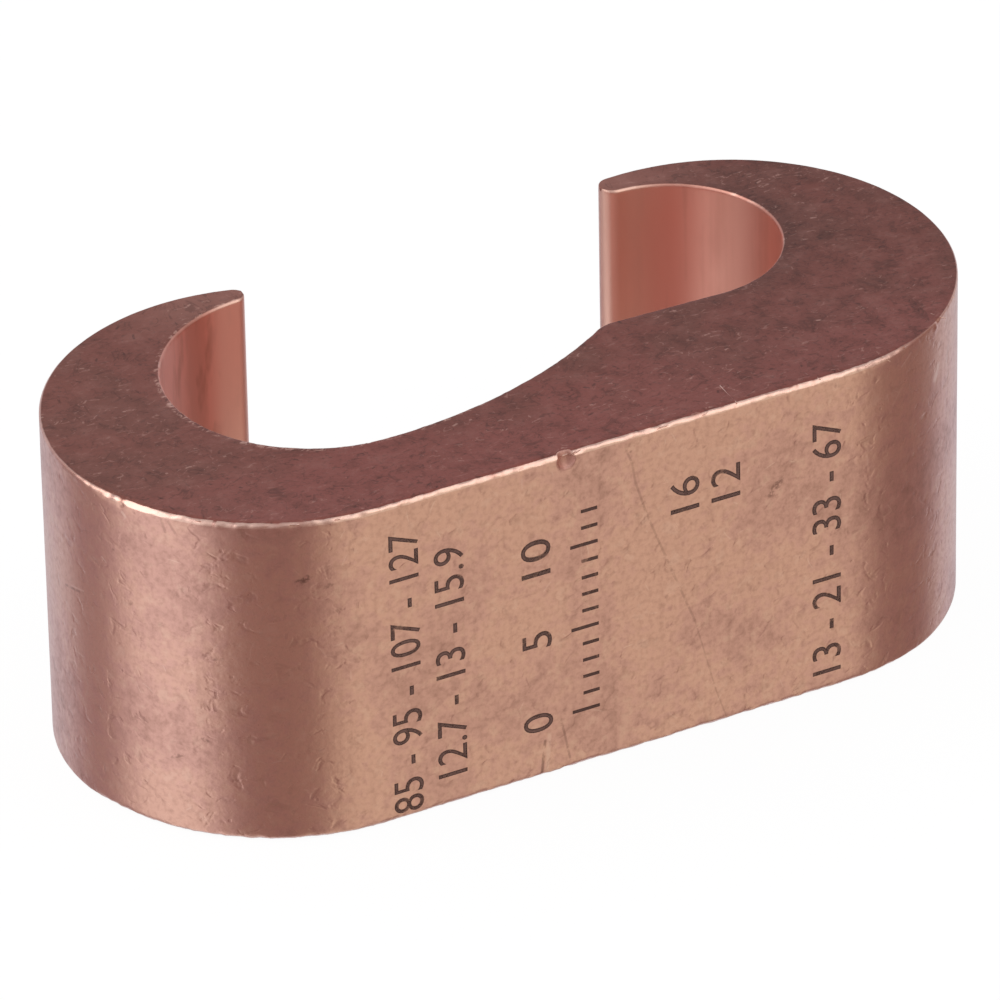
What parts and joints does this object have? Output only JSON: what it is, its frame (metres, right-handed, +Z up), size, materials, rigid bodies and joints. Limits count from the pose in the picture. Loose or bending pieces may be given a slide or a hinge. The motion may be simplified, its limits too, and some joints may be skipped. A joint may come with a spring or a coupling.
{
  "type": "compression ground connector",
  "caption": "Solid copper C-shaped compression connector: a large groove and a small groove share an open mouth, to crimp a branch wire onto a ground rod or cable.",
  "frame": {"origin": "centre of the box's lower face, on the lower cut face", "axes": "+X along the length towards the small tap groove, +Y from the flat front face to the open mouth, +Z up along the conductors"},
  "size_m": [0.051, 0.024, 0.0191],
  "materials": {
    "copper": "bare copper, drawn and lightly worn, with tarnished cut faces",
    "ink": "dark marking ink printed on the front face, thin and patchy"
  },
  "bodies": {
    "root": {"connector_body": "copper"}
  },
  "joints": []
}
